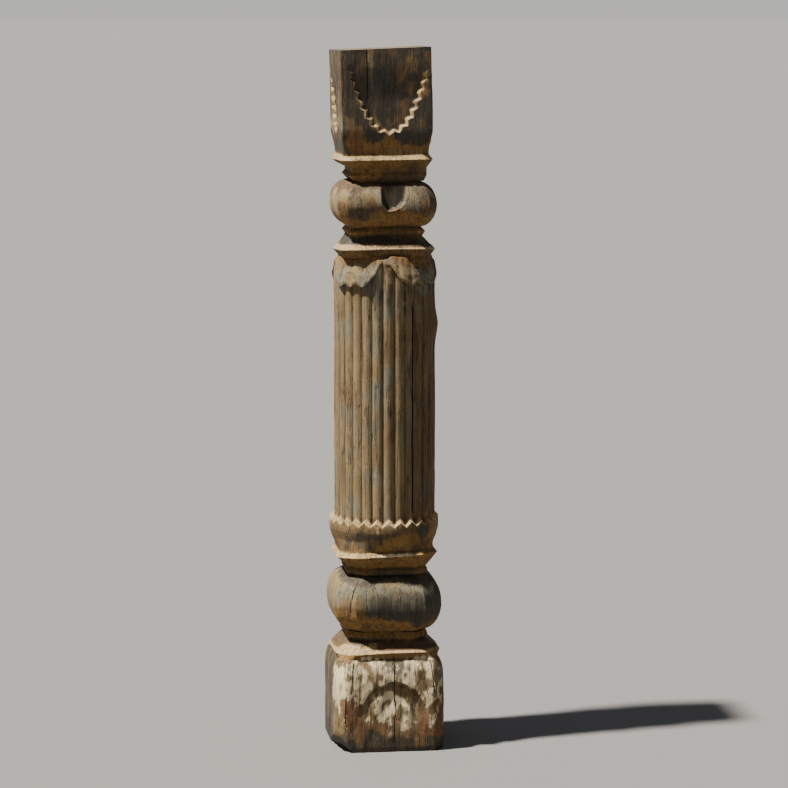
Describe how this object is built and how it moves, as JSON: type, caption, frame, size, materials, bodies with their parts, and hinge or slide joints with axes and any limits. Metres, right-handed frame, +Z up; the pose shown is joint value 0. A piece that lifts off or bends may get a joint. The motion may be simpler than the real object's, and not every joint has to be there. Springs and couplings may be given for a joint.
{
  "type": "carved pillar",
  "caption": "Weathered carved wooden pillar with a square foot, cushion mouldings, a reeded round shaft, a leaf collar and a square head with toothed swags.",
  "frame": {"origin": "the middle of the foot's box, on the floor", "axes": "+Z up along the trunk, the front face looks along -Y, +X is to the right of someone who looks at the front"},
  "size_m": [0.26, 0.26, 1.65],
  "materials": {
    "old_wood": "weathered matt, dark brown patina worn to pale wood on the edges"
  },
  "bodies": {
    "root": {"pillar": "old_wood"}
  },
  "joints": []
}
